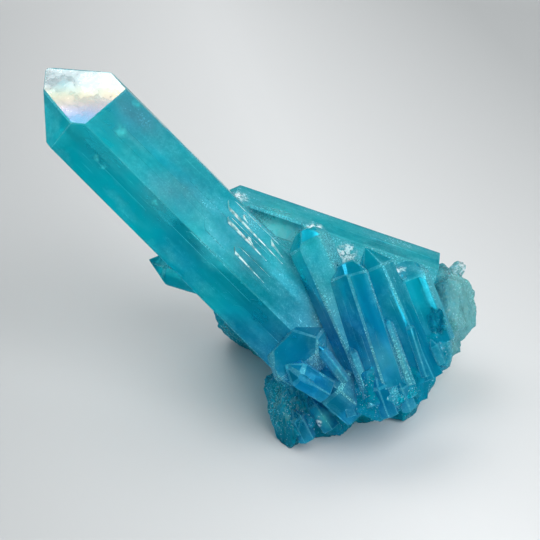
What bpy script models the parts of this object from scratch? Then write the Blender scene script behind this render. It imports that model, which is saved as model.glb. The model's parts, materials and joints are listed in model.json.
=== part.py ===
"""A cluster of aura quartz, all of it grown together into one solid.

One large crystal leans up to the left. A long one lies behind it, a fan of small ones stands in
front of that, and stubby ones cross the large crystal's lower end. They all rise from rock that
broke off its bed, so it is rough at the right, below and behind, and it rests on a flat underside.

Every size and place is in millimetres. The origin is under the middle of the cluster on the plane
it rests on, with X along its longest extent, -Y towards the front and +Z up.
"""
import math

import bmesh
import bpy
import numpy as np
from mathutils import Matrix, Vector

MM = 0.001
FRONT = Vector((0, -1, 0))
NODE = "quartz_cluster"

# The angle between quartz's long axis and the normal of a face of its point
POINT_FACE_LEAN = math.radians(51.8)

# Each crystal runs from its root to its tip. Its six sides are counted from the one on the right,
# over the front, to the left, and turn is the angle of the first from the right. sides are their
# distances from the axis. points are how far above the tip each face of the point would cross the
# axis, so the lowest one makes the largest face. A snap takes the tip off: (how far down the axis,
# its lean in degrees, the side it leans towards).
CRYSTALS = {
    "large": dict(
        tip=(-48.4, 20.5, 69.5),
        root=(20.8, -14.1, 9.6),
        turn=-19.2,
        sides=(10.3, 8.9, 9.9, 10.3, 10.5, 10.2),
        points=(2.8, -5.0, -1.2, 1.3, 8.0, 9.0),
    ),
    "long_back": dict(
        tip=(-18.1, 19.7, 36.2),
        root=(37.9, 10.2, 19.8),
        turn=-0.7,
        sides=(8.0, 8.0, 8.0, 8.0, 8.0, 8.0),
    ),
    "fan_first": dict(
        tip=(7.8, -0.1, 43.9),
        root=(25.0, -22.7, 12.7),
        turn=11.0,
        sides=(3.9, 4.4, 5.0, 4.2, 4.2, 4.2),
        snap=(3.2, 15, 4),
    ),
    "fan_second": dict(
        tip=(16.5, -6.3, 39.1),
        root=(25.8, -24.4, 15.9),
        turn=-2.8,
        sides=(4.3, 4.6, 4.3, 4.5, 4.5, 4.5),
        snap=(2.4, 10, 2),
    ),
    "fan_third": dict(
        tip=(21.7, -4.4, 39.4),
        root=(34.6, -19.7, 15.1),
        turn=26.5,
        sides=(4.0, 4.0, 4.2, 3.5, 3.5, 3.5),
    ),
    "fan_fourth": dict(
        tip=(29.2, -1.7, 37.1),
        root=(37.3, -12.7, 19.7),
        turn=7.8,
        sides=(4.3, 4.6, 4.8, 4.0, 3.5, 3.5),
        points=(-1.0, -1.0, -1.0, 0.0, 0.0, 0.0),
        snap=(4.0, 30, 1),
    ),
    "stub_front": dict(
        tip=(4.4, -27.3, 22.0),
        root=(13.7, -1.5, 18.5),
        turn=48.0,
        sides=(5.5, 5.5, 5.0, 5.0, 5.0, 5.5),
        points=(2.0, 0.0, 2.0, 2.0, 2.0, -2.2),
    ),
    "stub_low": dict(
        tip=(4.2, -25.8, 23.4),
        root=(13.2, -24.9, 16.2),
        turn=36.0,
        sides=(2.6, 2.8, 2.8, 2.8, 2.6, 2.6),
    ),
    "stub_under": dict(
        tip=(10.6, -21.2, 19.3),
        root=(20.5, -23.1, 10.7),
        turn=37.2,
        sides=(4.6, 4.6, 4.6, 4.6, 4.6, 4.6),
    ),
    "small_left": dict(
        tip=(-27.4, 11.0, 27.1),
        root=(-11.3, 8.6, 22.9),
        turn=31.1,
        sides=(4.2, 4.0, 3.8, 3.6, 3.6, 4.0),
        points=(0.0, 0.0, -1.5, 0.0, 0.0, 0.0),
    ),
}
SHARP_POINT = (0.0, 0.0, 0.0, 0.0, 0.0, 0.0)

# Steps in the large crystal's growth that stand up from its second side: how far down from the tip
# they start and end, where they lie across that side, and how high they stand
STEPS = {
    "outer": dict(start=49.0, end=67.0, across=(3.4, 6.3), rise=0.5),
    "middle": dict(start=51.5, end=64.0, across=(1.2, 2.8), rise=0.5),
    "inner": dict(start=57.0, end=67.0, across=(-3.0, -0.8), rise=0.4),
}
STEP_SIDE = 1
STEP_ROOT_DEPTH = 1.0
STEP_END_SLANT = math.radians(50)

# The broken rock: chipped blocks given by middle, half sizes, how many chips bound them, and a seed
ROCKS = {
    "right_top": dict(middle=(42.4, 7.2, 16.5), half=(7.0, 9.0, 8.8), chips=16, seed=31),
    "right_shoulder": dict(middle=(41.4, 10.7, 19.8), half=(4.4, 6.0, 5.0), chips=14, seed=2),
    "right": dict(middle=(38.1, 2.2, 11.0), half=(7.0, 9.0, 8.8), chips=16, seed=4),
    "right_low": dict(middle=(30.7, -6.8, 4.5), half=(7.6, 9.0, 7.6), chips=16, seed=118),
    "front_low": dict(middle=(21.9, -7.8, 4.5), half=(9.5, 9.5, 7.0), chips=14, seed=6),
    "foot_side": dict(middle=(13.1, -13.3, 4.8), half=(6.8, 9.0, 7.4), chips=14, seed=7),
    "foot": dict(middle=(6.6, -16.3, 6.0), half=(5.6, 8.5, 9.5), chips=14, seed=62),
    "fan_root": dict(middle=(25.5, -22.6, 14.8), half=(9.0, 7.2, 6.2), chips=14, seed=4),
    "fan_side": dict(middle=(31.4, -19.8, 15.0), half=(4.6, 6.3, 5.2), chips=14, seed=6),
    "fan_end": dict(middle=(35.3, -14.1, 19.0), half=(5.5, 6.5, 6.0), chips=14, seed=9),
    "under": dict(middle=(21.1, 5.7, 9.0), half=(19.0, 16.0, 12.0), chips=20, seed=11),
    "back": dict(middle=(1.1, 15.9, 10.4), half=(15.0, 11.0, 12.5), chips=16, seed=13),
}
CHIP_DEPTH = 0.24
CHIP_SWING = 0.5
GOLDEN_ANGLE = math.pi * (3 - math.sqrt(5))

# Shell-shaped hollows where pieces broke away from a crystal: middle and radius
SCOOPS = {
    "long_back": ((1.8, 6.2, 38.7), 9.0),
    "fan_fourth": ((28.4, -8.3, 38.2), 4.6),
}
SCOOP_FINENESS = 3

# A pit in the rock at the fan's right end
PIT = dict(middle=(37.2, -12.9, 25.8), radius=2.8)

GROUND_SIZE = 200.0


def across_and_front(axis):
    """Two directions square to an axis: the one on the right, and the one nearest the front."""
    right = axis.cross(FRONT).normalized()
    return right, right.cross(axis)


def axis_and_sides(tip, root, turn):
    """A crystal's upward axis and the outward normals of its six sides."""
    axis = (Vector(tip) - Vector(root)).normalized()
    right, front = across_and_front(axis)
    outward = []
    for side in range(6):
        angle = math.radians(turn + 60 * side)
        outward.append(math.cos(angle) * right + math.sin(angle) * front)
    return axis, outward


def crystal_planes(tip, root, turn, sides, points=SHARP_POINT, snap=None):
    """The planes that bound one crystal, as (a point on it, its outward normal), in millimetres."""
    axis, outward = axis_and_sides(tip, root, turn)
    tip, root = Vector(tip), Vector(root)
    planes = [(root, -axis)]
    for out, distance, above in zip(outward, sides, points):
        planes.append((tip + distance * out, out))
        lean = math.sin(POINT_FACE_LEAN) * out + math.cos(POINT_FACE_LEAN) * axis
        planes.append((tip + above * axis, lean))
    if snap:
        depth, degrees, side = snap
        tilt = math.radians(degrees)
        planes.append((tip - depth * axis, math.cos(tilt) * axis + math.sin(tilt) * outward[side]))
    return planes


def step_planes(start, end, across, rise):
    """A low slab on one side of the large crystal, pointed at its upper end."""
    large = CRYSTALS["large"]
    axis, outward = axis_and_sides(large["tip"], large["root"], large["turn"])
    out = outward[STEP_SIDE]
    right = axis.cross(out)
    face = Vector(large["tip"]) + large["sides"][STEP_SIDE] * out
    point = face - start * axis + sum(across) / 2 * right
    planes = [
        (face + rise * out, out),
        (face - STEP_ROOT_DEPTH * out, -out),
        (face + across[0] * right, -right),
        (face + across[1] * right, right),
        (face - end * axis, -axis),
    ]
    for sideways in (-right, right):
        slanted = math.cos(STEP_END_SLANT) * axis + math.sin(STEP_END_SLANT) * sideways
        planes.append((point, slanted))
    return planes


def rock_planes(middle, half, chips, seed):
    """Chips spread evenly round a block, each flat face set back by its own part of the depth.

    The chips' directions go round the block on a golden spiral, each swung a little off it.
    """
    random = np.random.default_rng(seed)
    planes = []
    for chip in range(chips):
        up = 1 - 2 * (chip + 0.5) / chips
        angle = chip * GOLDEN_ANGLE + random.uniform(-CHIP_SWING, CHIP_SWING)
        level = math.sqrt(1 - up * up)
        out = Vector((level * math.cos(angle), level * math.sin(angle), up))
        reach = Vector(size * part for size, part in zip(half, out)).length
        reach *= 1 - CHIP_DEPTH * random.uniform(0, 1)
        planes.append((Vector(middle) + reach * out, out))
    return planes


def cut_solid(name, planes, collection):
    """A closed solid: a large cube that loses all that lies outside each plane."""
    mesh = bmesh.new()
    bmesh.ops.create_cube(mesh, size=GROUND_SIZE * MM)
    for point, normal in planes:
        everything = mesh.verts[:] + mesh.edges[:] + mesh.faces[:]
        bmesh.ops.bisect_plane(
            mesh, geom=everything, dist=1e-7, plane_co=point * MM, plane_no=normal, clear_outer=True
        )
        bmesh.ops.holes_fill(mesh, edges=mesh.edges, sides=0)
    bmesh.ops.recalc_face_normals(mesh, faces=mesh.faces)
    return add_object(name, mesh, collection)


def scoop(name, middle, radius):
    """The ball whose shape a shell-shaped hollow takes."""
    ball = bmesh.new()
    place = Matrix.Translation(Vector(middle) * MM)
    bmesh.ops.create_icosphere(ball, subdivisions=SCOOP_FINENESS, radius=radius * MM, matrix=place)
    return add_object(name, ball, guides)


def add_object(name, mesh, collection):
    """Turns a mesh that is being edited into a named object."""
    data = bpy.data.meshes.new(name)
    mesh.to_mesh(data)
    mesh.free()
    thing = bpy.data.objects.new(name, data)
    collection.objects.link(thing)
    return thing


def combine(body, other, operation):
    """Joins another solid to the body, or cuts it out, and keeps the other one as a hidden guide."""
    other.hide_render = True
    other.display_type = "WIRE"
    step = body.modifiers.new(other.name, "BOOLEAN")
    step.operation = operation
    step.solver = "EXACT"
    step.object = other


def coated_quartz():
    """Clear quartz under a teal metal film."""
    material = bpy.data.materials.new("coated_quartz")
    material.use_nodes = True
    shader = material.node_tree.nodes["Principled BSDF"]
    shader.inputs["Base Color"].default_value = (0.02, 0.42, 0.5, 1)
    shader.inputs["Roughness"].default_value = 0.1
    shader.inputs["Metallic"].default_value = 0.0
    shader.inputs["Transmission Weight"].default_value = 0.8
    shader.inputs["IOR"].default_value = 1.54
    return material


for leftover in list(bpy.data.objects):
    bpy.data.objects.remove(leftover)

cluster = bpy.data.collections.new("aura_quartz_cluster")
guides = bpy.data.collections.new("grown_on_and_cut_away")
for group in (cluster, guides):
    bpy.context.scene.collection.children.link(group)

body = cut_solid(NODE, crystal_planes(**CRYSTALS["large"]), cluster)
body.data.materials.append(coated_quartz())

for name, crystal in CRYSTALS.items():
    if name == "large":
        continue
    grown = cut_solid(name, crystal_planes(**crystal), guides)
    if name in SCOOPS:
        combine(grown, scoop(name + "_scoop", *SCOOPS[name]), "DIFFERENCE")
    combine(body, grown, "UNION")
for name, step in STEPS.items():
    combine(body, cut_solid("step_" + name, step_planes(**step), guides), "UNION")
for name, rock in ROCKS.items():
    combine(body, cut_solid("rock_" + name, rock_planes(**rock), guides), "UNION")

combine(body, scoop("pit", **PIT), "DIFFERENCE")
ground = bmesh.new()
below = Matrix.Translation(Vector((0, 0, -GROUND_SIZE / 2)) * MM)
bmesh.ops.create_cube(ground, size=GROUND_SIZE * MM, matrix=below)
combine(body, add_object("ground", ground, guides), "DIFFERENCE")
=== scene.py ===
"""A cluster of aura quartz: clear to milky quartz crystals under a thin teal metal film, all grown
together with the broken rock they stand on. Sizes are in millimetres unless a name says otherwise.
"""
import json
import math
from itertools import combinations

import bpy
import numpy as np
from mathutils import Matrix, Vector

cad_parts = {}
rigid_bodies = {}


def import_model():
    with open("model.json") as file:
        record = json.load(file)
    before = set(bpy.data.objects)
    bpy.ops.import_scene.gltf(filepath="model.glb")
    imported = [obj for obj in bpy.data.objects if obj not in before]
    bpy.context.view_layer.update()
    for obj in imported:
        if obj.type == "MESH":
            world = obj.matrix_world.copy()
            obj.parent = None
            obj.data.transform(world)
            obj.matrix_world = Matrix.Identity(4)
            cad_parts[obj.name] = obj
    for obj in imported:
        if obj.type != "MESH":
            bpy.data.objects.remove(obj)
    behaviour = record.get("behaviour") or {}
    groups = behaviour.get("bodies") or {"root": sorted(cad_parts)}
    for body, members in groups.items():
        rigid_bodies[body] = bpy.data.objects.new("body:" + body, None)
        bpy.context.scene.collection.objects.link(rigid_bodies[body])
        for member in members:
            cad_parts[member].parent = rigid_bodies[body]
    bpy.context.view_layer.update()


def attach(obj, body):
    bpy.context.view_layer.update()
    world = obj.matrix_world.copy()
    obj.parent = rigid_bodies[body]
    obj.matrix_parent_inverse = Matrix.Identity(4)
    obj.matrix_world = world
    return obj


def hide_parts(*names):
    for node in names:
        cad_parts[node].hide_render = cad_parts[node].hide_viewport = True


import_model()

# The crystals. Quartz grows as six-sided prisms that end in six-faced points, and these all come
# from one root, so they run into each other and make one solid. A crystal is the block that its
# side faces and point faces leave between them, with its edges worn a little.
MM = 0.001
UP = np.array([0.0, 0.0, 1.0])
FRONT = np.array([0.0, -1.0, 0.0])
POINT_FACE_LEAN = math.radians(51.8)

# turn is the angle of the first side from the right, and sides are counted over the front to the
# left. points are how far above the tip each face of the point crosses the axis. frost is how
# milky each side is, from 0 to 1. A snap takes the tip off: depth, lean in degrees, side.
CRYSTALS = {
    "large": dict(
        tip=(-48.4, 20.5, 69.5),
        root=(20.8, -14.1, 9.6),
        turn=-19.2,
        sides=(10.3, 8.9, 9.9, 10.3, 10.5, 10.2),
        points=(2.8, -5.0, -1.2, 1.3, 8.0, 9.0),
        frost=(0.8, 0.38, 0.0, 0.3, 0.2, 0.5),
        worn=0.09,
    ),
    "long_back": dict(
        tip=(-18.1, 19.7, 36.2),
        root=(37.9, 10.2, 19.8),
        turn=-0.7,
        sides=(8.0, 8.0, 8.0, 8.0, 8.0, 8.0),
        frost=(0.4, 0.75, 0.3, 0.2, 0.4, 0.35),
        worn=0.14,
    ),
    "fan_first": dict(
        tip=(7.8, -0.1, 43.9),
        root=(25.0, -22.7, 12.7),
        turn=11.0,
        sides=(3.9, 4.4, 5.0, 4.2, 4.2, 4.2),
        snap=(3.2, 15, 4),
        frost=(0.8, 0.6, 0.05, 0.1, 0.3, 0.3),
        worn=0.12,
    ),
    "fan_second": dict(
        tip=(16.5, -6.3, 39.1),
        root=(25.8, -24.4, 15.9),
        turn=-2.8,
        sides=(4.3, 4.6, 4.3, 4.5, 4.5, 4.5),
        snap=(2.4, 10, 2),
        frost=(0.5, 0.0, 0.05, 0.1, 0.3, 0.3),
        worn=0.14,
    ),
    "fan_third": dict(
        tip=(21.7, -4.4, 39.4),
        root=(34.6, -19.7, 15.1),
        turn=26.5,
        sides=(4.0, 4.0, 4.2, 3.5, 3.5, 3.5),
        frost=(0.2, 0.1, 0.1, 0.1, 0.3, 0.3),
        worn=0.12,
    ),
    "fan_fourth": dict(
        tip=(29.2, -1.7, 37.1),
        root=(37.3, -12.7, 19.7),
        turn=7.8,
        sides=(4.3, 4.6, 4.8, 4.0, 3.5, 3.5),
        points=(-1.0, -1.0, -1.0, 0.0, 0.0, 0.0),
        snap=(4.0, 30, 1),
        frost=(0.5, 0.1, 0.1, 0.1, 0.3, 0.3),
        worn=0.12,
    ),
    "stub_front": dict(
        tip=(4.4, -27.3, 22.0),
        root=(13.7, -1.5, 18.5),
        turn=48.0,
        sides=(5.5, 5.5, 5.0, 5.0, 5.0, 5.5),
        points=(2.0, 0.0, 2.0, 2.0, 2.0, -2.2),
        frost=(0.1, 0.1, 0.1, 0.1, 0.1, 0.1),
        worn=0.2,
    ),
    "stub_low": dict(
        tip=(4.2, -25.8, 23.4),
        root=(13.2, -24.9, 16.2),
        turn=36.0,
        sides=(2.6, 2.8, 2.8, 2.8, 2.6, 2.6),
        frost=(0.1, 0.1, 0.2, 0.1, 0.1, 0.1),
        worn=0.2,
    ),
    "stub_under": dict(
        tip=(10.6, -21.2, 19.3),
        root=(20.5, -23.1, 10.7),
        turn=37.2,
        sides=(4.6, 4.6, 4.6, 4.6, 4.6, 4.6),
        frost=(0.2, 0.2, 0.2, 0.3, 0.2, 0.2),
        worn=0.14,
    ),
    "small_left": dict(
        tip=(-27.4, 11.0, 27.1),
        root=(-11.3, 8.6, 22.9),
        turn=31.1,
        sides=(4.2, 4.0, 3.8, 3.6, 3.6, 4.0),
        points=(0.0, 0.0, -1.5, 0.0, 0.0, 0.0),
        # A frost past 1 paints the third side white: a painted highlight on its lower face.
        frost=(0.1, 0.1, 1.2, 0.9, 0.2, 0.1),
        worn=0.1,
    ),
}
# Slender crystals that stand a little out of the large ones and the rock: tip, root, radius, turn
# and frost
BLADES = {
    "blade_of_second": ((25.9, -15.2, 28.1), (30.7, -26.4, 18.2), 1.1, 20, 0.9),
    "blade_of_third": ((30.5, -16.3, 27.8), (34.2, -22.3, 17.8), 1.0, 45, 0.2),
    "blade_of_first": ((18.2, -19.8, 24.2), (22.8, -28.4, 14.4), 1.3, 10, 0.8),
    "blade_low_left": ((15.6, -21.0, 20.5), (18.9, -26.8, 11.0), 1.6, 35, 0.3),
    "blade_low": ((23.3, -26.0, 20.8), (26.5, -28.5, 12.5), 1.9, 5, 0.1),
    "blade_low_right": ((27.8, -25.8, 20.0), (30.6, -27.0, 13.0), 1.6, 50, 0.4),
    "blade_of_stubs": ((11.4, -20.6, 24.7), (17.3, -24.2, 17.8), 1.2, 25, 0.6),
    "blade_right": ((35.4, -16.2, 23.6), (37.8, -18.4, 18.5), 1.4, 15, 0.5),
    "shard_of_foot": ((9.5, -19.6, 11.5), (14.5, -22.6, 4.6), 2.0, 40, 0.1),
    "shard_of_foot_low": ((6.0, -22.5, 9.8), (9.5, -24.5, 3.0), 1.8, 12, 0.2),
}
BLADE_WORN = 0.1
SHARP_POINT = (0.0, 0.0, 0.0, 0.0, 0.0, 0.0)
SNAP_FROST = 0.6
MIRRORING_FACE = 8
EDGE_FROST = 0.65


def axis_and_sides(crystal):
    """A crystal's upward axis and the outward normals of its six sides."""
    axis = np.subtract(crystal["tip"], crystal["root"])
    axis /= np.linalg.norm(axis)
    right = np.cross(axis, FRONT)
    right /= np.linalg.norm(right)
    front = np.cross(right, axis)
    angles = np.radians(crystal["turn"] + 60 * np.arange(6))[:, None]
    return axis, np.cos(angles) * right + np.sin(angles) * front


def crystal_planes(crystal):
    """A crystal's planes as points on them, outward normals and how milky they are.

    They are its root, its six sides, its six point faces, which lean by quartz's own angle, and
    the break if its tip is snapped off.
    """
    axis, sides = axis_and_sides(crystal)
    tip = np.array(crystal["tip"])
    points = [crystal["root"], *(tip + np.array(crystal["sides"])[:, None] * sides)]
    normals = [-axis, *sides]
    points.extend(tip + np.array(crystal.get("points", SHARP_POINT))[:, None] * axis)
    normals.extend(math.sin(POINT_FACE_LEAN) * sides + math.cos(POINT_FACE_LEAN) * axis)
    frost = [0.0, *crystal["frost"], *(0.5 * np.array(crystal["frost"]))]
    if "snap" in crystal:
        depth, degrees, side = crystal["snap"]
        tilt = math.radians(degrees)
        points.append(tip - depth * axis)
        normals.append(math.cos(tilt) * axis + math.sin(tilt) * sides[side])
        frost.append(SNAP_FROST)
    return np.array(points), np.array(normals), np.array(frost)


def solid_inside(points, normals):
    """The block left inside a set of planes.

    Its corners are where three planes meet with no other plane in front of them. Each face is the
    ring of corners on one plane, in order of their angle round the ring's middle.
    """
    reach = (points * normals).sum(axis=1)
    triples = np.array(list(combinations(range(len(reach)), 3)))
    triples = triples[np.abs(np.linalg.det(normals[triples])) > 1e-4]
    corners = np.linalg.solve(normals[triples], reach[triples][..., None])[..., 0]
    corners = corners[(corners @ normals.T <= reach + 1e-6).all(axis=1)]
    corners = np.unique(corners.round(5), axis=0)
    faces, planes = [], []
    for plane, (normal, distance) in enumerate(zip(normals, reach)):
        ring = np.flatnonzero(np.abs(corners @ normal - distance) < 1e-4)
        if len(ring) > 2:
            spokes = corners[ring] - corners[ring].mean(axis=0)
            turned = np.cross(normal, spokes[0])
            angles = np.arctan2(spokes @ turned, spokes @ spokes[0])
            faces.append(ring[np.argsort(angles)].tolist())
            planes.append(plane)
    return corners, faces, np.array(planes)


def worn_edges(corners, faces, planes, normals, depth, random):
    """Narrow planes that take a block's edges off, each a little deeper at one end of its edge.

    An edge is where two faces share two corners. Its plane's normal is the mean of theirs.
    """
    points, outward = [], []
    for one, other in combinations(range(len(faces)), 2):
        shared = sorted(set(faces[one]) & set(faces[other]))
        if len(shared) == 2:
            normal = normals[planes[one]] + normals[planes[other]]
            normal /= np.linalg.norm(normal)
            ends = corners[shared]
            along = ends[1] - ends[0]
            uneven = depth * random.uniform(-0.8, 0.8) / np.linalg.norm(along)
            tilted = normal + uneven * along / np.linalg.norm(along)
            points.append(ends.mean(axis=0) - depth * random.uniform(0.5, 1.3) * normal)
            outward.append(tilted / np.linalg.norm(tilted))
    return np.array(points), np.array(outward)


def add_block(name, corners, faces, group, crystal=None, frost=0.5, broken=0.0, relief=0.5, point=0.0):
    """A mesh that the cluster is joined from, with what its material reads kept on it.

    grown_at is a place in the crystal's own directions: across, to its front, and down from its
    tip. frost, broken and point are numbers on faces, and relief one on corners.
    """
    mesh = bpy.data.meshes.new(name)
    mesh.from_pydata(corners * MM, [], faces)
    own = corners
    if crystal:
        axis, sides = axis_and_sides(crystal)
        frame_of_crystal = np.array([np.cross(sides[0], axis), sides[0], -axis])
        own = (corners - np.array(crystal["tip"])) @ frame_of_crystal.T
    used = np.zeros(len(mesh.loops), int)
    mesh.loops.foreach_get("vertex_index", used)
    grown_at = mesh.attributes.new("grown_at", "FLOAT_VECTOR", "CORNER")
    grown_at.data.foreach_set("vector", own[used].ravel())
    on_corners = mesh.attributes.new("relief", "FLOAT", "CORNER")
    on_corners.data.foreach_set("value", np.broadcast_to(relief, len(corners))[used])
    for title, value in (("frost", frost), ("broken", broken), ("point", point)):
        on_faces = mesh.attributes.new(title, "FLOAT", "FACE")
        on_faces.data.foreach_set("value", np.broadcast_to(value, len(faces)).astype(float))
    block = bpy.data.objects.new(name, mesh)
    group.objects.link(block)
    return block


def add_crystal(name, crystal, group):
    """One crystal with its edges worn."""
    points, normals, frost = crystal_planes(crystal)
    random = np.random.default_rng(len(name))
    edges = worn_edges(*solid_inside(points, normals), normals, crystal["worn"], random)
    points = np.concatenate([points, edges[0]])
    normals = np.concatenate([normals, edges[1]])
    frost = np.concatenate([frost, np.full(len(edges[0]), EDGE_FROST)])
    corners, faces, planes = solid_inside(points, normals)
    on_point = (planes == MIRRORING_FACE) & (name == "large")
    return add_block(name, corners, faces, group, crystal, frost[planes], point=on_point)


def new_group(name):
    """A collection for blocks that are joined to the cluster, or cut from it, in one go."""
    group = bpy.data.collections.new(name)
    bpy.context.scene.collection.children.link(group)
    return group


grown = new_group("grown")
cluster = add_crystal("large", CRYSTALS["large"], bpy.context.scene.collection)
cluster.name = "cluster"
for name, crystal in CRYSTALS.items():
    if name != "large":
        add_crystal(name, crystal, grown)
for name, (tip, root, radius, turn, frost) in BLADES.items():
    blade = dict(tip=tip, root=root, turn=turn, sides=(radius,) * 6, frost=(frost,) * 6, worn=BLADE_WORN)
    add_crystal(name, blade, grown)

# Growth plates. Quartz thickens by thin layers that spread over its sides and stop short of the
# point, so each side carries long low steps with slanting ends that catch the light.
PLATE_END_SLANT = math.radians(50)
PLATE_ROOT = 0.6
PLATE_FADE = 0.8
PLATE_EDGE_SLOPE = 0.8
# Frost past 1 paints the step ends white, a painted highlight, and gilds their film.
HIGHLIGHT_FROST = 1.4
STEPS = {
    "outer": dict(side=1, start=49.0, length=18.0, across=(3.4, 6.3), rise=0.7),
    "middle": dict(side=1, start=51.5, length=12.5, across=(1.2, 2.8), rise=0.7),
    "inner": dict(side=1, start=57.0, length=10.0, across=(-3.0, -0.8), rise=0.6),
    "first_chip": dict(side=1, start=53.5, length=3.0, across=(3.9, 5.7), rise=1.1),
    "second_chip": dict(side=1, start=57.5, length=2.6, across=(1.3, 2.6), rise=1.0),
    "third_chip": dict(side=1, start=61.5, length=4.5, across=(4.4, 6.4), rise=1.0),
}
PLATES_ON_A_SIDE = {
    "large": 6,
    "long_back": 5,
    "fan_first": 3,
    "fan_second": 2,
    "fan_third": 3,
    "fan_fourth": 2,
    "stub_front": 1,
    "stub_under": 2,
    "small_left": 1,
}


def add_plate(name, crystal, side, start, length, across, rise, end_frost=0.6):
    """A thin slab on one side, from start down to start + length below the tip.

    Its top sinks towards the side at its lower end, its long edges slope, and its upper end comes
    to a peak between two slanted edges.
    """
    axis, sides = axis_and_sides(crystal)
    out = sides[side]
    right = np.cross(axis, out)
    face = np.array(crystal["tip"]) + crystal["sides"][side] * out
    head = face - start * axis
    peak = head + sum(across) / 2 * right
    top = out - PLATE_FADE * rise / length * axis
    level = math.cos(PLATE_END_SLANT) * axis
    slant = math.sin(PLATE_END_SLANT) * right
    planes = [
        (head + rise * out, top),
        (face - PLATE_ROOT * out, -out),
        (head + across[0] * right, PLATE_EDGE_SLOPE * out - right),
        (head + across[1] * right, PLATE_EDGE_SLOPE * out + right),
        (face - (start + length) * axis, -axis),
        (peak, level + slant),
        (peak, level - slant),
    ]
    points, normals = (np.array(part) for part in zip(*planes))
    normals /= np.linalg.norm(normals, axis=1)[:, None]
    corners, faces, kept = solid_inside(points, normals)
    frost = np.where(kept == 0, 0.8 * crystal["frost"][side] + 0.1, end_frost)
    add_block("plate_" + name, corners, faces, grown, crystal, frost)


for name, step in STEPS.items():
    add_plate(name, CRYSTALS["large"], end_frost=HIGHLIGHT_FROST, **step)

random = np.random.default_rng(7)
for name, count in PLATES_ON_A_SIDE.items():
    crystal = CRYSTALS[name]
    tall = math.dist(crystal["tip"], crystal["root"])
    for side in range(6):
        half_width = 0.5 * crystal["sides"][side]
        shoulder = 1.3 * crystal["sides"][side] - crystal.get("points", SHARP_POINT)[side]
        for number in range(count):
            wide = half_width * random.uniform(0.1, 0.4)
            middle = random.uniform(wide - half_width, half_width - wide)
            start = shoulder + (tall - shoulder) * random.uniform(0.03, 0.7)
            length = min(tall * random.uniform(0.15, 0.45), tall - start)
            rise = crystal["sides"][side] * random.uniform(0.006, 0.018)
            if length > 2 * wide:
                place = (side, start, length, (middle - wide, middle + wide), rise)
                add_plate(f"{name}_{side}_{number}", crystal, *place)

# Broken rock. The cluster was broken off its bed, which is massive quartz with no faces of its own,
# so it breaks in chips with creased, grainy and ribbed surfaces.
ROCKS = {
    "right_top": dict(middle=(42.4, 7.2, 16.5), half=(7.0, 9.0, 8.8), chips=16, seed=31),
    "right_shoulder": dict(middle=(41.4, 10.7, 19.8), half=(4.4, 6.0, 5.0), chips=14, seed=2),
    "right": dict(middle=(38.1, 2.2, 11.0), half=(7.0, 9.0, 8.8), chips=16, seed=4),
    "right_low": dict(middle=(30.7, -6.8, 4.5), half=(7.6, 9.0, 7.6), chips=16, seed=118),
    "front_low": dict(middle=(21.9, -7.8, 4.5), half=(9.5, 9.5, 7.0), chips=14, seed=6),
    "foot_side": dict(middle=(13.1, -13.3, 4.8), half=(6.8, 9.0, 7.4), chips=14, seed=7),
    "foot": dict(middle=(6.6, -16.3, 6.0), half=(5.6, 8.5, 9.5), chips=14, seed=62, ribs=0.4),
    "fan_root": dict(middle=(25.5, -22.6, 14.8), half=(9.0, 7.2, 6.2), chips=14, seed=4),
    "fan_side": dict(middle=(31.4, -19.8, 15.0), half=(4.6, 6.3, 5.2), chips=14, seed=6),
    "fan_end": dict(middle=(35.3, -14.1, 19.0), half=(5.5, 6.5, 6.0), chips=14, seed=9),
    "knob": dict(middle=(44.4, 10.9, 24.6), half=(2.0, 2.4, 2.0), chips=12, seed=3),
    "under": dict(middle=(21.1, 5.7, 9.0), half=(19.0, 16.0, 12.0), chips=20, seed=11),
    "back": dict(middle=(1.1, 15.9, 10.4), half=(15.0, 11.0, 12.5), chips=16, seed=13),
}
CHIP_DEPTH = 0.24
CHIP_SWING = 0.5
GOLDEN_ANGLE = math.pi * (3 - math.sqrt(5))
ROCK_GRAIN = 0.4
CREASES = dict(size=5.0, depth=1.7)
SMALL_CREASES = dict(size=2.0, depth=0.9)
CREASE_WAVES = 7
RIB_SPACING = 1.3


def chip_planes(half, chips, seed):
    """Flat chips round a block, as outward normals and distances.

    The normals go round it on a golden spiral, each swung a little, and each distance is the
    ellipsoid's reach that way less its own part of the chip depth.
    """
    swing, depth = np.random.default_rng(seed).uniform(size=(chips, 2)).T
    up = 1 - 2 * (np.arange(chips) + 0.5) / chips
    angle = np.arange(chips) * GOLDEN_ANGLE + CHIP_SWING * (2 * swing - 1)
    level = np.sqrt(1 - up * up)
    out = np.stack([level * np.cos(angle), level * np.sin(angle), up], axis=1)
    return out, np.linalg.norm(out * half, axis=1) * (1 - CHIP_DEPTH * depth)


def folded(points, size, seed):
    """Creased relief from 0 to 1: the mean of triangle waves that cross space in many directions."""
    random = np.random.default_rng(seed)
    ways = random.normal(size=(CREASE_WAVES, 3))
    ways /= np.linalg.norm(ways, axis=1)[:, None] * size * random.uniform(0.6, 1.6, (CREASE_WAVES, 1))
    waves = points @ ways.T + random.uniform(size=CREASE_WAVES)
    return (2 * np.abs(waves - np.floor(waves + 0.5))).mean(axis=1)


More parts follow.
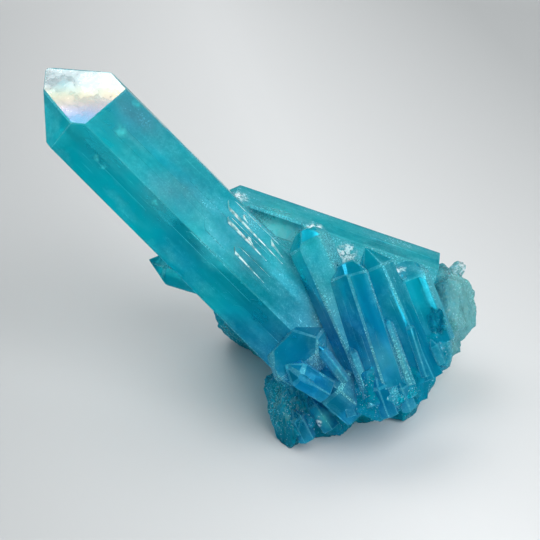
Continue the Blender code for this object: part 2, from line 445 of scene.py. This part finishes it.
def ball_grid(rows):
    """Directions from pole to pole of a ball, and the faces between them, closed at both poles."""
    columns = 2 * rows
    down, turned = np.meshgrid(
        np.pi * np.arange(1, rows) / rows, 2 * np.pi * np.arange(columns) / columns, indexing="ij"
    )
    rings = np.stack([np.sin(down) * np.cos(turned), np.sin(down) * np.sin(turned), np.cos(down)], axis=-1)
    ways = np.concatenate([[UP], rings.reshape(-1, 3), [-UP]])
    here = 1 + np.arange((rows - 1) * columns).reshape(rows - 1, columns)
    beside = np.roll(here, -1, axis=1)
    quads = np.stack([here[:-1], here[1:], beside[1:], beside[:-1]], axis=-1).reshape(-1, 4)
    top = np.stack([np.zeros(columns, int), here[0], beside[0]], axis=-1)
    bottom = np.stack([np.full(columns, len(ways) - 1), beside[-1], here[-1]], axis=-1)
    return ways, quads.tolist() + top.tolist() + bottom.tolist()


def rock_surface(middle, half, chips, seed, ribs=0.0):
    """A chipped block: each direction's distance is the nearest chip's, less the creases' relief.

    Ribs are upright ridges, a triangle wave of the place across the block.
    """
    out, reach = chip_planes(half, chips, seed)
    ways, faces = ball_grid(int(math.pi * max(half) / ROCK_GRAIN / 1.5))
    facing = ways @ out.T
    distance = np.where(facing > 0.05, reach / np.maximum(facing, 0.05), np.inf).min(axis=1)
    at = np.array(middle) + distance[:, None] * ways
    relief = folded(at, CREASES["size"], seed + 50)
    fine = folded(at, SMALL_CREASES["size"], seed + 90)
    raised = CREASES["depth"] * (relief - 0.65) + SMALL_CREASES["depth"] * (fine - 0.6)
    wave = (at[:, 0] + 0.4 * at[:, 1]) / RIB_SPACING + 1.5 * relief
    raised += ribs * (np.abs(wave - np.floor(wave + 0.5)) - 0.25)
    return at + raised[:, None] * ways, faces, np.clip(0.5 + raised, 0, 1)


rock = new_group("rock")
for name, block in ROCKS.items():
    corners, faces, relief = rock_surface(**block)
    add_block("rock_" + name, corners, faces, rock, frost=0.25, broken=1.0, relief=relief)

# Hollows and chips. Quartz has no planes to split on, so a knock takes a shell-shaped bite with
# ripples round where it was struck, and handling nicks the edges.
BITES = {
    "long_back": dict(middle=(1.8, 6.2, 38.7), radius=9.0, crease=6.0, depth=1.8, frost=0.98),
    "fan_fourth": dict(middle=(28.4, -8.3, 38.2), radius=4.6, crease=3.0, depth=1.0, frost=0.8),
}
PIT = dict(middle=(37.2, -12.9, 25.8), radius=2.8, crease=1.6, depth=2.4, frost=0.6)
BITE_ROWS = 60
NICK_ROWS = 8
NICKS_ON_A_CRYSTAL = 5


def add_bite(name, group, middle, radius, crease, depth, frost, broken=0.1):
    """A ball with creases: its radius gains the folded relief of its own surface."""
    ways, faces = ball_grid(BITE_ROWS)
    worn = depth * (folded(radius * ways, crease, 3) - 0.5)
    corners = np.array(middle) + (radius + worn)[:, None] * ways
    # Its low relief puts the rock's painted deeper shade on the hollow.
    return add_block(name, corners, faces, group, frost=frost, broken=broken, relief=0.2)


def add_nicks(name, group):
    """Small ball-shaped nicks at random places on a crystal's edges, drawn out along them."""
    points, normals, _ = crystal_planes(CRYSTALS[name])
    corners, faces, _ = solid_inside(points, normals)
    random = np.random.default_rng(2 * len(name) + 1)
    ways, ball_faces = ball_grid(NICK_ROWS)
    for number in range(NICKS_ON_A_CRYSTAL):
        ring = corners[faces[random.integers(1, len(faces))]]
        start = random.integers(len(ring))
        one, other = ring[start], ring[start - 1]
        along = (other - one) / np.linalg.norm(other - one)
        size = random.uniform(0.3, 0.9)
        drawn_out = ways + random.uniform(0, 2.0) * (ways @ along)[:, None] * along
        place = one + random.uniform(0.1, 0.9) * (other - one)
        add_block(f"nick_{name}_{number}", place + size * drawn_out, ball_faces, group, frost=0.5, broken=0.4)


def combine(body, operation, object=None, group=None):
    """Joins a block or a group of blocks to the body, or cuts it out."""
    step = body.modifiers.new(operation.lower(), "BOOLEAN")
    step.operation = operation
    step.solver = "MANIFOLD"
    step.operand_type = "COLLECTION" if group else "OBJECT"
    if group:
        step.collection = group
    else:
        step.object = object


cutters = new_group("cutters")
for name, hollow in BITES.items():
    ball = add_bite("bite_" + name, cutters, **hollow)
    combine(bpy.data.objects[name], "DIFFERENCE", object=ball)

# The whole cluster is joined here, cut flat where it rests, and given its film.
GROUND = 200.0
half = GROUND / 2
ground_planes = [(side * half * way - half * UP, side * way) for way in np.eye(3) for side in (-1, 1)]
corners, faces, _ = solid_inside(*(np.array(part) for part in zip(*ground_planes)))
cut_away = new_group("cut_away")
add_block("ground", corners, faces, cut_away, frost=0.5, broken=1.0)
add_bite("pit", cut_away, **PIT, broken=1.0)
nicks = new_group("nicks")
for name in CRYSTALS:
    add_nicks(name, nicks)
combine(cluster, "UNION", group=grown)
combine(cluster, "DIFFERENCE", group=nicks)
combine(cluster, "UNION", group=rock)
combine(cluster, "DIFFERENCE", group=cut_away)
whole = bpy.data.meshes.new_from_object(cluster.evaluated_get(bpy.context.evaluated_depsgraph_get()))
cluster.modifiers.clear()
cluster.data = whole
for group in (grown, rock, nicks, cutters, cut_away):
    for block in list(group.objects):
        bpy.data.objects.remove(block)
    bpy.data.collections.remove(group)
SHARP_FROM = math.radians(15)
whole.shade_smooth()
whole.set_sharp_from_angle(angle=SHARP_FROM)


def from_hex(text):
    """A colour written as in a drawing program, turned into the linear values that Blender uses."""
    parts = [int(text[i:i + 2], 16) / 255 for i in (1, 3, 5)]
    return tuple(p / 12.92 if p < 0.04045 else ((p + 0.055) / 1.055) ** 2.4 for p in parts) + (1,)


coated_quartz = bpy.data.materials.new("coated_quartz")
coated_quartz.use_nodes = True
tree = coated_quartz.node_tree
shader = tree.nodes["Principled BSDF"]


def add_node(kind, inputs, **settings):
    """Adds a node with its settings, and a value or a link for each input."""
    node = tree.nodes.new(kind)
    for name, value in settings.items():
        setattr(node, name, value)
    for socket, value in inputs.items():
        if isinstance(value, bpy.types.NodeSocket):
            tree.links.new(value, node.inputs[socket])
        else:
            node.inputs[socket].default_value = value
    return node


def attribute(name, output="Fac"):
    return add_node("ShaderNodeAttribute", {}, attribute_name=name).outputs[output]


def noise(where, size, detail=3.0, roughness=0.5):
    return add_node("ShaderNodeTexNoise", {"Vector": where, "Scale": 1 / size, "Detail": detail,
                                           "Roughness": roughness}).outputs["Fac"]


def remap(value, low, high, to_low=0.0, to_high=1.0):
    return add_node("ShaderNodeMapRange", {"Value": value, "From Min": low, "From Max": high,
                                           "To Min": to_low, "To Max": to_high}).outputs["Result"]


def maths(operation, one, other=0.0, third=0.0, clamp=False):
    return add_node("ShaderNodeMath", {0: one, 1: other, 2: third}, operation=operation,
                    use_clamp=clamp).outputs[0]


def vector_maths(operation, one, other):
    node = add_node("ShaderNodeVectorMath", {0: one, 1: other}, operation=operation)
    return node.outputs["Value" if operation in ("DOT_PRODUCT", "DISTANCE") else "Vector"]


def mix_colour(how_much, one, other):
    node = add_node("ShaderNodeMix", {"Factor": how_much, 6: one, 7: other}, data_type="RGBA")
    return node.outputs[2]


place = add_node("ShaderNodeTexCoord", {}).outputs["Object"]
place_mm = vector_maths("MULTIPLY", place, (1000, 1000, 1000))
grown_at = attribute("grown_at", "Vector")
frost = attribute("frost")
broken = attribute("broken")
relief = attribute("relief")
point = attribute("point")

# Haze: milky clouds drawn out along each crystal, a finer grain, and thin scratches along it
drawn_out = vector_maths("MULTIPLY", grown_at, (1, 1, 0.45))
clouds = noise(drawn_out, 6.5, 3.0, 0.5)
fine_clouds = noise(grown_at, 1.3, 3.0, 0.65)
strips = remap(noise(vector_maths("MULTIPLY", grown_at, (0.7, 0.7, 0.12)), 1.0, 1.0), 0.5, 0.75)
scratches = remap(noise(vector_maths("MULTIPLY", grown_at, (2.6, 2.6, 0.12)), 1.0, 2.0, 0.4), 0.70, 0.76)
haze = maths("MULTIPLY_ADD", frost, 0.75, maths("MULTIPLY_ADD", clouds, 1.8, -0.9))
haze = maths("MULTIPLY_ADD", maths("SUBTRACT", fine_clouds, 0.5), 0.5, haze, clamp=True)
haze = maths("MULTIPLY_ADD", strips, 0.08, haze, clamp=True)
haze = maths("MULTIPLY_ADD", scratches, 0.3, haze, clamp=True)
dust = remap(noise(grown_at, 0.35, 2.0, 0.7), 0.50, 0.64, 0.95, 1.6)
haze = maths("MULTIPLY", dust, haze, clamp=True)

# Places where the quartz is milky, veiled grey, crazed white with some painted white glints, painted bright
# cyan where a flaw catches light, or ribbed with pale upright fibres: middle and radius
MILKY = (
    ((-9.0, -4.0, 42.0), 9.0),
    ((24.6, -24.0, 23.9), 6.0),
    ((4.7, 12.9, 33.6), 7.0),
    ((13.0, -14.0, 27.0), 8.0),
    ((-20.0, 4.0, 47.0), 6.0),
)
VEILED = (
    ((-29.0, 8.8, 63.0), 13.0),
    ((-18.0, 0.0, 51.0), 10.0),
    ((-3.0, -8.0, 38.0), 6.0),
)
# Crazed white spots. The second and third are not crazing but painted white glints on the back crystal.
CRAZED_AND_GLINT_SPOTS = (
    ((-6.0, 16.5, 41.0), 3.2),
    ((11.7, 11.2, 35.9), 2.4),
    ((13.0, 8.0, 33.5), 3.0),
    ((18.6, 7.5, 31.2), 3.0),
    ((29.1, -4.4, 33.6), 1.9),
    ((44.6, 10.7, 24.6), 2.6),
    ((12.0, -22.5, 6.8), 1.6),
)
# Painted glints: bright cyan is painted where inner flaws catch light, and the widest spot lights the shaded
# hollow in the back crystal.
FLAW_GLINT_SPOTS = (
    ((-35.6, 3.2, 57.1), 0.9),
    ((-34.6, 2.4, 55.2), 0.7),
    ((-22.9, -2.8, 49.4), 0.9),
    ((-30.5, 5.9, 61.7), 1.8),
    ((-27.4, 12.2, 65.5), 1.6),
    ((3.0, 13.5, 34.5), 7.0),
    ((13.1, -23.5, 8.0), 3.0),
)
FIBROUS = (
    ((4.0, -22.0, 9.5), 7.0),
    ((-6.0, 9.0, 9.0), 8.0),
)
swirl = add_node("ShaderNodeTexNoise", {"Vector": place_mm, "Scale": 0.7, "Detail": 3.0}).outputs["Color"]
swirled = add_node("ShaderNodeVectorMath", {0: swirl, 1: (3.0, 3.0, 3.0), 2: place_mm},
                   operation="MULTIPLY_ADD").outputs["Vector"]
HALF_SWIRL = Vector((1.5, 1.5, 1.5))


def near(spots, inner=0.5):
    """How near the swirled place is to any of some spots: 1 at the inner part of its radius."""
    nearest = 0.0
    for middle, radius in spots:
        distance = vector_maths("DISTANCE", swirled, Vector(middle) + HALF_SWIRL)
        nearest = maths("MAXIMUM", nearest, remap(distance, radius, inner * radius))
    return nearest


splinters = remap(noise(place_mm, 0.8, 4.0, 0.7), 0.44, 0.56, 0.1, 1.6)
# Crazed white, together with the painted white glints among its spots.
crazing_and_glints = maths("MULTIPLY", near(CRAZED_AND_GLINT_SPOTS, 0.2), splinters, clamp=True)
patchy = remap(noise(place_mm, 1.1, 2.0), 0.44, 0.54, 0.05, 1.0)
# Frost past 0.9 paints patchy white: painted highlights on the growth steps' ends and on the small crystal's
# lower side, and some crazing in the back crystal's hollow.
crazing_and_glints = maths("MAXIMUM", crazing_and_glints, maths("MULTIPLY", remap(frost, 0.9, 1.4), patchy))
# Painted sparkles: tiny white dots on the broken rock that stand for glints of light.
painted_sparkles = maths("MULTIPLY", remap(noise(place_mm, 0.4, 2.0, 0.6), 0.62, 0.68, 0.0, 0.7), broken)
painted_sparkles = maths("MULTIPLY", painted_sparkles, remap(clouds, 0.42, 0.58, 0.15, 1.0))
crazing_and_glints = maths("MAXIMUM", crazing_and_glints, painted_sparkles)
flaw_glints = maths("MULTIPLY", near(FLAW_GLINT_SPOTS, 0.0), 0.8)
veiled = maths("MULTIPLY", near(VEILED, 0.1), remap(clouds, 0.35, 0.6, 0.3, 0.85))
haze = maths("MULTIPLY_ADD", near(MILKY, 0.0), 0.45, haze, clamp=True)
fibres = remap(noise(vector_maths("MULTIPLY", place_mm, (1.6, 1.6, 0.25)), 1.0, 2.0), 0.48, 0.60)
fibres = maths("MULTIPLY", near(FIBROUS), fibres)

# Colours: teal, bluer round the foot, greener where the crystals join, and paler with haze
TEAL = "#00d0d8"
BLUE = "#00a6e4"
GREEN = "#18b09c"
MILK = "#7ac2c8"
SUNKEN_SHADE_TEAL = "#009cb4"
VEIL = "#5c969c"
RIND = "#9cd6cc"
WHITE = "#e4f6f8"
GLINT_CYAN = "#6cf4ee"
PAINTED_GLARE = "#8ab2b6"
from_foot = vector_maths("DISTANCE", place_mm, (17.0, -20.3, 15.0))
blue_part = maths("ADD", remap(from_foot, 32, 12), maths("SUBTRACT", noise(place_mm, 12.0), 0.5), clamp=True)
from_joint = vector_maths("DISTANCE", place_mm, (6.0, -9.3, 30.0))
green_part = remap(from_joint, 14, 4, 0.0, 0.35)
colour = mix_colour(blue_part, from_hex(TEAL), from_hex(BLUE))
colour = mix_colour(green_part, colour, from_hex(GREEN))
colour = mix_colour(haze, colour, from_hex(MILK))
colour = mix_colour(veiled, colour, from_hex(VEIL))
grain = noise(place_mm, 0.9, 4.0, 0.65)
to_the_right = add_node("ShaderNodeSeparateXYZ", {"Vector": place_mm}).outputs["X"]
rind = remap(maths("MULTIPLY_ADD", grain, 8.0, to_the_right), 42.0, 47.0)
# Painted shade: the rock is a deeper teal where its surface is sunk, in its creases and in the bites' low
# relief.
rock_colour = mix_colour(remap(maths("ADD", relief, grain), 0.6, 1.4), from_hex(SUNKEN_SHADE_TEAL), colour)
rock_colour = mix_colour(maths("MULTIPLY", rind, 0.8), rock_colour, from_hex(RIND))
colour = mix_colour(broken, colour, rock_colour)
colour = mix_colour(maths("MULTIPLY", fibres, 0.7), colour, from_hex(MILK))
# Painted glare: the point face that mirrors the light is painted pale, standing for the glare it reflects.
colour = mix_colour(maths("MULTIPLY", point, 0.75), colour, from_hex(PAINTED_GLARE))
# Painted cyan glints where flaws catch light, and painted light in the shaded hollow.
colour = mix_colour(flaw_glints, colour, from_hex(GLINT_CYAN))
# White for crazing, and for the painted white glints, highlights and sparkles.
colour = mix_colour(crazing_and_glints, colour, from_hex(WHITE))
tree.links.new(colour, shader.inputs["Base Color"])

# Clear quartz lets light through and mirrors; haze, crazing, broken rock and the painted glints scatter it
cloudy = maths("MAXIMUM", haze, maths("MULTIPLY", crazing_and_glints, 1.3), clamp=True)
cloudy = maths("MULTIPLY_ADD", broken, 0.4, cloudy, clamp=True)
cloudy = maths("MAXIMUM", cloudy, flaw_glints)
roughness = maths("MULTIPLY_ADD", haze, 0.22, 0.07)
roughness = maths("MULTIPLY_ADD", broken, 0.06, roughness)
roughness = maths("MULTIPLY_ADD", point, 0.1, roughness)
tree.links.new(roughness, shader.inputs["Roughness"])
transmission = maths("MULTIPLY_ADD", crazing_and_glints, -0.4, remap(cloudy, 0.0, 1.0, 0.8, 0.4), clamp=True)
tree.links.new(transmission, shader.inputs["Transmission Weight"])
shader.inputs["IOR"].default_value = 1.54
shader.inputs["Subsurface Weight"].default_value = 0.6
shader.inputs["Subsurface Radius"].default_value = (0.2, 1.0, 1.0)
shader.inputs["Subsurface Scale"].default_value = 0.006

# The metal film: its thickness in nanometres sets the colour it mirrors, cyan on most faces and gold on faces
# frosted past 1.2, such as the growth steps' ends. On the large crystal's point it thins upwards, from
# lavender over pink and yellow to white.
FILM_TINT = "#38e4f4"
upwards = vector_maths("DOT_PRODUCT", place_mm, (0.0, 0.5, 0.866))
gilded = remap(frost, 1.2, 1.3)
side_film = remap(noise(place_mm, 16.0, 2.0), 0.3, 0.7, 182, 206)
side_film = maths("MULTIPLY_ADD", gilded, -62.0, side_film)
point_film = maths("ADD", remap(upwards, 58.0, 65.0, 176, 116), remap(upwards, 64.5, 68.0, 0, -50))
point_film = maths("MULTIPLY_ADD", noise(place_mm, 1.2, 3.0), 14, point_film)
film = add_node("ShaderNodeMix", {"Factor": point, 2: side_film, 3: point_film}).outputs[0]
tree.links.new(film, shader.inputs["Thin Film Thickness"])
shader.inputs["Thin Film IOR"].default_value = 1.85
uncoloured = maths("MAXIMUM", point, gilded)
film_tint = mix_colour(uncoloured, from_hex(FILM_TINT), from_hex("#ffffff"))
tree.links.new(film_tint, shader.inputs["Specular Tint"])

# Relief too fine to model: growth lines across each crystal, grain, and splinters in crazed places and under
# the painted white glints and sparkles
across_growth = vector_maths("MULTIPLY", grown_at, (0.25, 0.25, 2.2))
growth_lines = noise(across_growth, 1.0, 3.0, 0.6)
roughened = maths("MULTIPLY_ADD", broken, 3.0, 0.15)
height = maths("MULTIPLY_ADD", growth_lines, 0.4, maths("MULTIPLY", grain, roughened))
height = maths("MULTIPLY_ADD", crazing_and_glints, 2.0, height)
height = maths("MULTIPLY_ADD", fibres, 3.0, height)
sugar = add_node("ShaderNodeTexVoronoi", {"Vector": place_mm, "Scale": 1.3}).outputs["Distance"]
height = maths("MULTIPLY_ADD", maths("MULTIPLY", sugar, broken), 3.0, height)
bump = add_node("ShaderNodeBump", {"Height": height, "Distance": 0.0001, "Strength": 0.8})
tree.links.new(bump.outputs["Normal"], shader.inputs["Normal"])

tint = add_node("ShaderNodeVolumeAbsorption", {"Color": from_hex("#20c8e0"), "Density": 18.0})
tree.links.new(tint.outputs["Volume"], tree.nodes["Material Output"].inputs["Volume"])

whole.materials.clear()
whole.materials.append(coated_quartz)
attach(cluster, "root")
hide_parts("quartz_cluster")

# The floor: a wide sheet of pale card, which bounces light into the crystals from below. Light is painted
# into its colour: a paler band where the lamps' light falls, painted shade away from it, and paler again far
# off where the lamps leave it dim.
FLOOR_HALF_M = 2.0
floor_mesh = bpy.data.meshes.new("floor")
floor_corners = [(x * FLOOR_HALF_M, y * FLOOR_HALF_M, 0) for x, y in ((-1, -1), (1, -1), (1, 1), (-1, 1))]
floor_mesh.from_pydata(floor_corners, [], [(0, 1, 2, 3)])
floor = bpy.data.objects.new("floor", floor_mesh)
bpy.context.scene.collection.objects.link(floor)
card = bpy.data.materials.new("card")
card.use_nodes = True
tree = card.node_tree
card_shader = tree.nodes["Principled BSDF"]
floor_place = add_node("ShaderNodeTexCoord", {}).outputs["Object"]
# Painted light on the card: paler in a broad band, darker away from it, and paler far off.
across_band = maths("SUBTRACT", vector_maths("DOT_PRODUCT", floor_place, (1.0, 0.2, 0.0)), 0.03)
shade = remap(maths("ABSOLUTE", across_band), 0.005, 0.105)
card_painted_light = mix_colour(shade, from_hex("#dadcdd"), from_hex("#b6b9ba"))
far = remap(vector_maths("DISTANCE", floor_place, (0.0, 0.0, 0.0)), 0.28, 0.6)
card_painted_light = mix_colour(far, card_painted_light, from_hex("#f6f8f8"))
tree.links.new(card_painted_light, card_shader.inputs["Base Color"])
card_shader.inputs["Roughness"].default_value = 0.7
floor_mesh.materials.append(card)

# Studio light: one broad light above and behind, which the large crystal's point mirrors, with two
# weaker ones to the sides and an even pale surround.
LIT_FROM_MIDDLE = Vector((0.0, 0.0, 0.03))


def add_light(name, at, size, power, mirrored=True, lighting=True):
    data = bpy.data.lights.new(name, "AREA")
    data.shape = "SQUARE"
    data.size = size
    data.energy = power
    light = bpy.data.objects.new(name, data)
    light.location = at
    light.rotation_euler = (LIT_FROM_MIDDLE - Vector(at)).to_track_quat("-Z", "Y").to_euler()
    light.visible_glossy = mirrored
    light.visible_diffuse = lighting
    light.visible_transmission = lighting
    bpy.context.scene.collection.objects.link(light)


tip = Vector(CRYSTALS["large"]["tip"]) * MM
above_tip = tip + 0.6 * Vector((-0.26, 0.50, 0.83))
add_light("key", above_tip, 0.6, 2.1, mirrored=False)
add_light("window", above_tip, 0.25, 3.3, lighting=False)
add_light("front", (0.20, -0.24, 0.34), 0.4, 1.8, mirrored=False)
add_light("spark_left", (-0.30, -0.12, 0.42), 0.05, 0.03, lighting=False)
add_light("spark_right", (0.16, -0.30, 0.36), 0.05, 0.03, lighting=False)

world = bpy.data.worlds.new("studio")
bpy.context.scene.world = world
world.use_nodes = True
world.node_tree.nodes["Background"].inputs["Color"].default_value = from_hex("#e2e5e6")
world.node_tree.nodes["Background"].inputs["Strength"].default_value = 0.5

# The camera looks down at thirty degrees from the front.
ELEVATION = math.radians(30)
TARGET = Vector((1.3, -1.3, 31.8)) * MM
DISTANCE_M = 0.297
camera_data = bpy.data.cameras.new("camera")
camera_data.sensor_width = 36
camera_data.lens = 90
camera_data.clip_start = 0.01
camera = bpy.data.objects.new("camera", camera_data)
back = Vector((0, -math.cos(ELEVATION), math.sin(ELEVATION)))
camera.location = TARGET + DISTANCE_M * back
camera.rotation_euler = (-back).to_track_quat("-Z", "Y").to_euler()
bpy.context.scene.collection.objects.link(camera)
bpy.context.scene.camera = camera
bpy.context.scene.view_settings.view_transform = "Standard"
